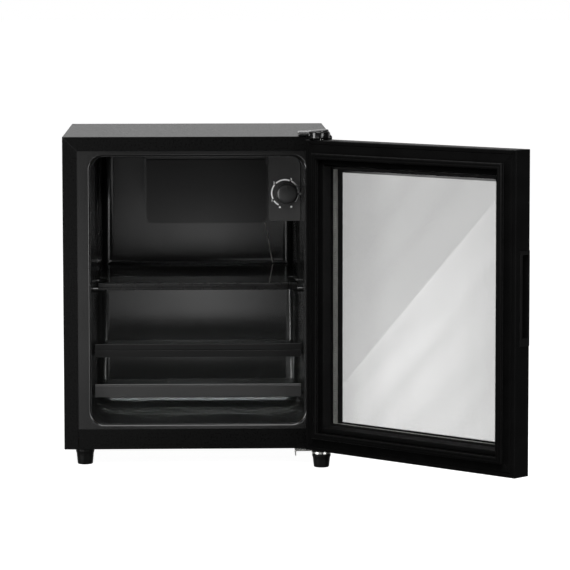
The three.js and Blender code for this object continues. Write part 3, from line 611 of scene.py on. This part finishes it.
def dial_print():
    """The printed scale round the knob: an arc that tapers off, a dot at each end, a number at each step."""
    face = box_mm("thermostat_housing")[0].y - 0.05
    knob_low, knob_high = box_mm("thermostat_knob")
    centre = ((knob_low.x + knob_high.x) / 2 - 2.6, (knob_low.z + knob_high.z) / 2 + 0.3)
    radius, mark_radius = 21.3, 23.9
    numbers = {"1": 210, "2": 137, "3": 66, "4": -3}
    breaks = [246, 210, 137, 66, -3]
    forms = []
    for start, end in zip(breaks, breaks[1:]):
        forms.append(arc_strip(centre, radius, start - 4.5, end + 4.5, 2.1, 2.3, face))
    forms.append(arc_strip(centre, radius, -8, -42, 1.5, 0.4, face))
    for angle in (249.6, -65.5):
        a = math.radians(angle)
        dot = lathe([(0, 0), (1.6, 0), (1.6, 0.08), (0, 0.08)], 24)
        at = (centre[0] + mark_radius * math.cos(a), face, centre[1] + mark_radius * math.sin(a))
        forms.append(about("-y", at, dot))
    for text, angle in numbers.items():
        a = math.radians(angle)
        at = Vector((centre[0] + mark_radius * math.cos(a), face, centre[1] + mark_radius * math.sin(a)))
        forms.append(moved(digit(text, 5.2), Matrix.Translation(at)))
    piece("dial_print", joined(*forms), "cabinet", PRINT, flat=True)


def flange_mitres():
    """The open seams where the shell's folded flanges meet at 45 degrees, drawn as thin strips of painted
    shade.
    """
    side, top = 22.5, 22.0
    for name, sign in (("left", -1), ("right", 1)):
        outer = Vector((sign * (HALF - 0.8), 0, CABINET_HIGH.z - 0.8))
        inner = Vector((sign * (HALF - side), 0, CABINET_HIGH.z - top))
        along = (inner - outer).normalized()
        across = Vector((along.z, 0, -along.x)) * 0.22
        out, back = Vector((0, -0.04, 0)), Vector((0, 0.5, 0))
        ring = [outer + across, outer - across, inner - across, inner + across]
        verts = [p + out for p in ring] + [p + back for p in ring]
        faces = [(0, 1, 2, 3), (7, 6, 5, 4), (0, 4, 5, 1), (1, 5, 6, 2), (2, 6, 7, 3), (3, 7, 4, 0)]
        piece(f"flange_seam_{name}", (verts, faces), "cabinet", GAP_SHADE, flat=True)


def door_gasket():
    """A magnetic gasket: a foot, a folded bellows and a rounded head, welded at its mitred corners."""
    foot, head = DOOR_FACE + 0.3, -0.45
    section = [
        (22.4, foot), (22.1, foot + 1.0), (21.0, foot + 1.7), (20.3, foot + 2.6), (20.7, foot + 3.5),
        (21.5, foot + 4.0), (20.5, foot + 4.5), (20.0, foot + 5.2), (19.9, foot + 6.6), (20.2, head - 1.4),
        (20.9, head - 0.5), (22.1, head), (24.2, head - 0.12), (24.8, head - 0.55), (25.4, head - 0.12),
        (27.4, head), (28.6, head - 0.5), (29.3, head - 1.4), (29.5, foot + 6.6), (29.4, foot + 5.2),
        (28.9, foot + 4.5), (27.9, foot + 4.0), (28.7, foot + 3.5), (29.1, foot + 2.6), (28.4, foot + 1.7),
        (27.3, foot + 1.0), (27.1, foot),
    ]
    piece("door_gasket_profile", door_band(section), "door", GASKET,
          replaces=["door_gasket"], swing=True)


def glazing():
    """What lies between the panes: sealant lines, the painted shade in the spacer's perforations and the
    printed border.
    """
    for name, y, edge in (("inner", INNER_PANE_BACK, 44.2), ("outer", OUTER_PANE_FACE + 0.28, 42.6)):
        section = [(36.2, y - 0.26), (edge, y - 0.26), (edge, y - 0.02), (36.2, y - 0.02)]
        piece(f"sealant_line_{name}", door_band(section), "door", BUTYL, swing=True)

    # The perforations are dark discs of painted shade on the spacer's face.
    inset, pitch, radius = SPACER_INNER + 0.04, 3.2, 0.62
    y_middle = (INNER_PANE_BACK + OUTER_PANE_FACE) / 2
    forms = []
    hole = lathe([(0, 0), (radius, 0), (radius, 0.03), (0, 0.03)], 8)
    width, height = 2 * (HALF - inset), DOOR_HIGH - DOOR_LOW - 2 * inset
    for row in (-1.7, 1.7):
        y = y_middle + row
        for k in range(int((height - 30) / pitch)):
            z = DOOR_LOW + inset + 15 + k * pitch
            forms.append(about("x", (HALF - inset, y, z), hole))
            forms.append(about("x", (inset - HALF, y, z), hole))
        for k in range(int((width - 30) / pitch)):
            x = inset - HALF + 15 + k * pitch
            forms.append(about("z", (x, y, DOOR_LOW + inset), hole))
            forms.append(about("z", (x, y, DOOR_HIGH - inset), hole))
    piece("spacer_perforations", joined(*forms), "door", GAP_SHADE, swing=True, flat=True)

    border_side, border_top, border_bottom, start = 53.2, 50.0, 46.0, 31.0
    outer = (start - HALF, HALF - start, DOOR_LOW + start, DOOR_HIGH - start)
    inner = (border_side - HALF, HALF - border_side, DOOR_LOW + border_bottom, DOOR_HIGH - border_top)
    y = OUTER_PANE_FACE + 0.02
    piece("printed_border", plate_ring(outer, inner, y, y + 0.06), "door", ENAMEL,
          swing=True, flat=True)


def screw(centre, axis, radius=3.4):
    """A pan-head screw with a cross recess."""
    head = lathe([
        (0, -0.5), (radius, -0.5), (radius, 0.5), (radius * 0.93, 1.1), (radius * 0.7, 1.6),
        (radius * 0.35, 1.85), (0, 1.9),
    ], 24)
    return about(axis, centre, head)


# A screw's cross recess, drawn as two dark bars of painted shade standing just proud of the head.
def recess(centre, axis, radius=3.4):
    long, short, top = radius * 0.5, radius * 0.12, 1.93
    bars = joined(
        rounded_box((-long, -short, 1.2), (long, short, top), 0),
        rounded_box((-short, -long, 1.2), (short, long, top), 0),
    )
    return about(axis, centre, bars)


def screws():
    """Fasteners of the back, the compressor's plate and the bottom bracket."""
    back = CABINET_HIGH.y
    plate_low, plate_high = box_mm("condenser_plate")
    plate_face = 424.8
    groups = {
        "back_panel_screws": ("y", [(x, back, z) for x in (-199, 199) for z in (262, 380, 498)]),
        "condenser_screws": ("y", [
            (x, plate_face, z) for x in (plate_low.x + 12, plate_high.x - 12)
            for z in (plate_low.z + 8, plate_high.z - 6)
        ]),
        "base_plate_screws": ("y", [(x, back - 1.5, 30) for x in (-190, -95, 95, 190)]),
        "bracket_screws": ("-z", [(x, y, 21.7) for x, y in ((162, 8), (162, 34), (190, 34))]),
        "compressor_bolts": ("z", [
            (middle_mm(f"compressor_grommet_{k}").x, middle_mm(f"compressor_grommet_{k}").y, 46.9)
            for k in "abcd"
        ]),
    }
    for name, (axis, places) in groups.items():
        piece(name, joined(*[screw(p, axis) for p in places]), "cabinet", BRIGHT)
        # the recesses are painted shade
        piece(name + "_recesses", joined(*[recess(p, axis) for p in places]), "cabinet",
              GAP_SHADE, flat=True)


def liner_skin():
    """The liner's moulded inner surface, with soft corners: a drafted box with a step over the compressor.
    Its front edge starts just inside the wall, so that it grows out of the mouth without a seam."""
    outline = [(4, 64.3), (214.7, 66.6), (214.7, 277.15), (374.6, 277.15), (374.6, 480.0), (4, 483.8)]
    count, half, draft = len(outline), 167.3, 0.0257
    verts = [Vector((side * (half - draft * y), y, z)) for side in (-1, 1) for y, z in outline]
    faces = [(k, k + 1, count + k + 1, count + k) for k in range(count - 1)]
    faces += [tuple(range(count)), tuple(range(2 * count - 1, count - 1, -1))]
    skin = piece("liner_skin", (verts, faces), "cabinet", LINER, flat=True)
    mesh = skin.data
    all_smooth(mesh)
    widest = 25  # the radius of a bevel weight of 1
    across = {1: 20, 2: 6, 3: 16, 4: 20}  # radii of the edges that run from side to side
    along = {0: 22, 1: 18, 2: 0.6, 3: 18, 4: 22}  # and along each side: the upper shelf needs 2 sharp
    weights = mesh.attributes.new("bevel_weight_edge", "FLOAT", "EDGE")
    for edge in mesh.edges:
        a, b = sorted(edge.vertices)
        if b - a == count:
            weights.data[edge.index].value = across.get(a, 0) / widest
        elif b - a == 1:
            weights.data[edge.index].value = along[a % count] / widest
    soft = skin.modifiers.new("corners", "BEVEL")
    soft.limit_method = "WEIGHT"
    soft.width = widest * MM
    soft.segments = 12
    soft.harden_normals = True
    wall = skin.modifiers.new("wall", "SOLIDIFY")
    wall.thickness = 0.3 * MM
    wall.offset = 1


def evaporator_channels():
    """The raised refrigerant channel of the roll-bonded ice box, on its floor and its roof."""
    low, high = box_mm("evaporator")
    front, back = low.y + 14, high.y - 16
    for name, z in (("floor", low.z + 1.7), ("roof", high.z - 1.7)):
        xs = [low.x + 18 + 17 * k for k in range(10)]
        points = []
        for k, x in enumerate(xs):
            ends = (front, back) if k % 2 == 0 else (back, front)
            points += [(x, ends[0], z), (x, ends[1], z)]
        piece(f"evaporator_channel_{name}", tube(eased(points, 7), 3.2, 12, 0.5), "cabinet",
              ALUMINIUM)


def shelf_edge():
    """The dark strip on the upper shelf's front edge: a lip above, and a narrower one below a groove."""
    low, high = box_mm("upper_shelf")
    left, right, front = low.x + 1, high.x - 1, low.y
    above = rounded_box((left, front - 0.7, low.z - 0.2), (right, front + 4.5, high.z + 1), 0.8, 4)
    below = rounded_box((left, front - 0.2, low.z - 4.4), (right, front + 3, low.z + 0.6), 0.7, 4)
    piece("upper_shelf_edge", joined(above, below), "upper_shelf_body", EDGE)


def sensor_tube():
    """The thermostat's capillary, from its housing round the ice box and down the back wall."""
    points = [
        (138, 137.5, 402), (138, 215, 396), (126, 330, 388), (112, 367, 376), (113, 370.5, 349),
        (116, 371, 337), (126, 371, 284),
    ]
    piece("sensor_capillary", tube(eased(points, 8), 1.0, 16), "cabinet", CAPILLARY,
          replaces=["sensor_tube"])


def compressor_details():
    """The weld round the can, and the process tube."""
    seam = lathe([(0, 118.4), (58.9, 118.6), (59.3, 121), (58.9, 123.4), (0, 123.6)], 96)
    piece("compressor_weld", about("z", (40, 335, 0), seam), "cabinet", BLACK_COAT)
    stub = tube(eased([(10, 375, 165), (10, 385, 172), (10, 385, 205)], 5), 2.6, 16)
    piece("process_tube", stub, "cabinet", COPPER)


# ---------------------------------------------------------------- studio
def area_light(name, position, target, size, radiance):
    """A softbox of `size` (width, height) metres, equally bright from everywhere in front of it."""
    data = bpy.data.lights.new(name, "AREA")
    data.shape = "RECTANGLE"
    data.size, data.size_y = size
    data.energy = radiance * math.pi * size[0] * size[1]
    obj = bpy.data.objects.new(name, data)
    obj.location = ORIGIN + Vector(position)
    aim = ORIGIN + Vector(target) - obj.location
    obj.rotation_mode = "QUATERNION"
    obj.rotation_quaternion = aim.to_track_quat("-Z", "Y")
    obj.visible_camera = False
    bpy.context.scene.collection.objects.link(obj)


def stage_plane(name, corners, material):
    """A flat piece of the stage, drawn in metres in the cabinet's frame."""
    mesh = bpy.data.meshes.new(name)
    mesh.from_pydata(corners, [], [(0, 1, 2, 3)])
    mesh.materials.append(material)
    obj = bpy.data.objects.new(name, mesh)
    obj.location = ORIGIN
    bpy.context.scene.collection.objects.link(obj)
    return obj


BRIGHTEST = 3.1  # the card's level that its curves hold as 1


def levels(f, value, points):
    """A smooth curve through (position, level) points, as a share of BRIGHTEST."""
    node = f.nodes.new("ShaderNodeValToRGB")
    node.color_ramp.interpolation = "EASE"
    ramp = node.color_ramp.elements
    ramp[0].position, ramp[-1].position = points[0][0], points[-1][0]
    for position, _ in points[1:-1]:
        ramp.new(position)
    for element, (_, level) in zip(ramp, points):
        element.color = (*grey(level / BRIGHTEST), 1)
    f.links.new(value, node.inputs["Fac"])
    return node.outputs["Color"]


def reflector():
    """The card to the left that the open door's glass mirrors. Its slanted edge draws the diagonal."""
    f = Finish("reflector_card", grey(0), 1.0)
    position = f.nodes.new("ShaderNodeSeparateXYZ")
    f.links.new(f.place, position.inputs["Vector"])
    depth = f.nodes.new("ShaderNodeMapRange")  # 0 at the hinge side of the glass, 1 at its free side
    depth.inputs["From Min"].default_value = -0.149
    depth.inputs["From Max"].default_value = -0.4725
    f.links.new(position.outputs["Y"], depth.inputs["Value"])
    dim = levels(f, depth.outputs["Result"], [
        (0, 0.05), (0.12, 0.5), (0.34, 1.2), (0.8, 1.35), (1, 1.25),
    ])
    near = levels(f, depth.outputs["Result"], [
        (0, 0.6), (0.16, 1.9), (0.33, 2.7), (0.55, 3.05), (0.75, 2.8), (0.88, 2.3), (1, 1.8),
    ])
    far = levels(f, depth.outputs["Result"], [
        (0, 0.42), (0.16, 1.3), (0.33, 1.85), (0.55, 2.0), (0.75, 1.8), (0.88, 1.5), (1, 1.1),
    ])

    turned = f.nodes.new("ShaderNodeMapping")  # y along the slanted edge, z across it
    turned.vector_type = "TEXTURE"
    turned.inputs["Location"].default_value = (0, -0.4714, 0.2853)
    turned.inputs["Rotation"].default_value = (math.atan2(-0.3845, 0.3181), 0, 0)
    f.links.new(f.place, turned.inputs["Vector"])
    across = f.nodes.new("ShaderNodeSeparateXYZ")
    f.links.new(turned.outputs["Vector"], across.inputs["Vector"])
    side = f.nodes.new("ShaderNodeMapRange")  # 0 above the slanted edge, 1 below it
    side.inputs["From Min"].default_value = 0.0015
    side.inputs["From Max"].default_value = -0.0015
    f.links.new(across.outputs["Z"], side.inputs["Value"])

    fading = f.nodes.new("ShaderNodeMapRange")  # the lit part fades away from its slanted edge
    fading.inputs["From Min"].default_value = -0.05
    fading.inputs["From Max"].default_value = -0.2
    f.links.new(across.outputs["Z"], fading.inputs["Value"])

    lit = f.nodes.new("ShaderNodeMix")
    lit.data_type = "RGBA"
    f.links.new(fading.outputs["Result"], lit.inputs["Factor"])
    f.links.new(near, lit.inputs[6])
    f.links.new(far, lit.inputs[7])
    mix = f.nodes.new("ShaderNodeMix")
    mix.data_type = "RGBA"
    f.links.new(side.outputs["Result"], mix.inputs["Factor"])
    f.links.new(dim, mix.inputs[6])
    f.links.new(lit.outputs[2], mix.inputs[7])
    f.links.new(mix.outputs[2], f.shader.inputs["Emission Color"])

    streaks = f.nodes.new("ShaderNodeMapping")
    streaks.inputs["Scale"].default_value = (1, 0.35, 2.6)
    f.links.new(turned.outputs["Vector"], streaks.inputs["Vector"])
    noise = f.nodes.new("ShaderNodeTexNoise")
    noise.inputs["Scale"].default_value = 7
    noise.inputs["Detail"].default_value = 1
    f.links.new(streaks.outputs["Vector"], noise.inputs["Vector"])
    f.links.new(f.ramp(noise.outputs["Fac"], 2.45, 3.2, 0.3, 0.6), f.shader.inputs["Emission Strength"])

    x = -1.6  # the corners are worked out so that the clear part of the open glass just mirrors them
    corners = [(x, -0.149, -0.186), (x, -0.475, -0.23), (x, -0.471, 0.33), (x, -0.149, 0.349)]
    card = stage_plane("reflector", corners, f.material)
    card.visible_camera = False
    card.visible_diffuse = False
    card.visible_shadow = False
    card.visible_transmission = False


def studio():
    """A pale floor that glows a little, so that only contact shadows show on it, under large softboxes."""
    floor = Finish("studio_floor", grey(0.4), 0.9)
    floor.shader.inputs["Emission Color"].default_value = (1, 1, 1, 1)
    floor.shader.inputs["Emission Strength"].default_value = 0.95
    reflected = floor.nodes.new("ShaderNodeLightPath").outputs["Glossy Depth"]
    unseen = floor.nodes.new("ShaderNodeEmission")  # panes don't mirror it, so their dark rims stay dark
    unseen.inputs["Strength"].default_value = 0.0
    mix = floor.nodes.new("ShaderNodeMixShader")
    floor.links.new(reflected, mix.inputs["Fac"])
    floor.links.new(floor.shader.outputs["BSDF"], mix.inputs[1])
    floor.links.new(unseen.outputs["Emission"], mix.inputs[2])
    floor.links.new(mix.outputs["Shader"], floor.nodes["Material Output"].inputs["Surface"])
    far = 40
    corners = [(-far, -far, 0), (far, -far, 0), (far, far, 0), (-far, far, 0)]
    plane = stage_plane("floor", corners, floor.material)
    plane.visible_glossy = False
    plane.visible_diffuse = False
    plane.visible_shadow = False

    area_light("softbox_top", (0.1, 0.5, 2.9), (0.1, 0, 0), (3.4, 3.0), 1.8)
    area_light("softbox_front", (-0.2, -2.2, 2.6), (0, 0, 0.25), (2.0, 1.5), 8.0)
    area_light("softbox_right", (1.3, -1.55, 0.4), (0.4, -0.3, 0.25), (0.5, 0.9), 4.5)
    area_light("inside_low_left", (-0.42, -1.5, 0.08), (-0.2, 0, 0.08), (0.3, 0.75), 1.5)
    area_light("inside_left", (-1.5, -1.15, 0.3), (0, 0.2, 0.25), (0.8, 1.4), 9.0)
    area_light("inside_right", (1.3, -1.55, 0.3), (0, 0.2, 0.25), (0.8, 1.4), 3.2)
    area_light("inside_low", (0.01, -1.5, 0.07), (0, 0.2, 0.12), (0.22, 0.36), 2.7)
    area_light("side_low", (-0.42, -1.5, 0.08), (-0.2, 0, 0.08), (0.3, 0.75), 2.5)
    area_light("side_left", (-2.4, 1.7, 0.2), (-0.2, 0.3, 0.25), (2.0, 1.6), 13.0)
    area_light("side_right", (2.4, 1.7, 0.2), (0.2, 0.3, 0.25), (2.0, 1.6), 13.0)

    world = bpy.data.worlds.new("studio")
    bpy.context.scene.world = world
    world.use_nodes = True
    nodes, links = world.node_tree.nodes, world.node_tree.links
    background = nodes["Background"]
    direction = nodes.new("ShaderNodeTexCoord").outputs["Generated"]
    split = nodes.new("ShaderNodeSeparateXYZ")
    links.new(direction, split.inputs["Vector"])
    ramp = nodes.new("ShaderNodeMapRange")  # dark in front of the object, pale behind it
    ramp.inputs["From Min"].default_value = 0.3
    ramp.inputs["From Max"].default_value = 0.95
    ramp.inputs["To Min"].default_value = 0.03
    ramp.inputs["To Max"].default_value = 0.72
    links.new(split.outputs["Y"], ramp.inputs["Value"])
    eye = nodes.new("ShaderNodeLightPath").outputs["Is Camera Ray"]
    mix = nodes.new("ShaderNodeMix")
    mix.data_type = "FLOAT"
    links.new(eye, mix.inputs["Factor"])
    links.new(ramp.outputs["Result"], mix.inputs["A"])
    mix.inputs["B"].default_value = 1.0
    links.new(mix.outputs["Result"], background.inputs["Strength"])
    background.inputs["Color"].default_value = (1, 1, 1, 1)

    view = bpy.context.scene.view_settings
    view.view_transform = "Standard"
    view.look = "None"


def link_lights():
    """The lights named side_ reach only the black steel, and those named inside_ all but it and the door."""
    steel = {"cabinet_shell", "bottom_front_rail", "back_panel"}
    door = ("door_frame", "glazing_bead", "door_gasket", "inner_pane", "outer_pane")
    groups = {key: bpy.data.collections.new(key + "_receivers") for key in ("inside", "side")}
    for obj in bpy.context.scene.objects:
        if obj.type != "MESH" or obj.name in ("floor", "reflector"):
            continue
        if obj.name in steel:
            groups["side"].objects.link(obj)
        elif not obj.name.startswith(door):
            groups["inside"].objects.link(obj)
    for light in bpy.context.scene.objects:
        group = groups.get(light.name.split("_")[0])
        if light.type == "LIGHT" and group:
            light.light_linking.receiver_collection = group


def camera():
    """A long lens from far in front, a little above the object."""
    data = bpy.data.cameras.new("camera")
    data.sensor_width = 36
    data.lens = 201.39
    data.clip_end = 100
    cam = bpy.data.objects.new("camera", data)
    yaw, pitch, roll = math.radians(1.616), math.radians(-5.721), math.radians(-0.075)
    turn = (
        Matrix.Rotation(-yaw, 4, "Z")
        @ Matrix.Rotation(math.pi / 2 + pitch, 4, "X")
        @ Matrix.Rotation(roll, 4, "Z")
    )
    cam.matrix_world = Matrix.Translation(TO_ROW @ Vector((-3.6, -4955.0, 779.5))) @ turn
    bpy.context.scene.collection.objects.link(cam)
    bpy.context.scene.camera = cam


camera()
studio()
reflector()
dress_all()
feet()
hinge_cap()
knob()
dial_print()
flange_mitres()
door_gasket()
glazing()
screws()
evaporator_channels()
sensor_tube()
shelf_edge()
compressor_details()
liner_skin()
link_lights()
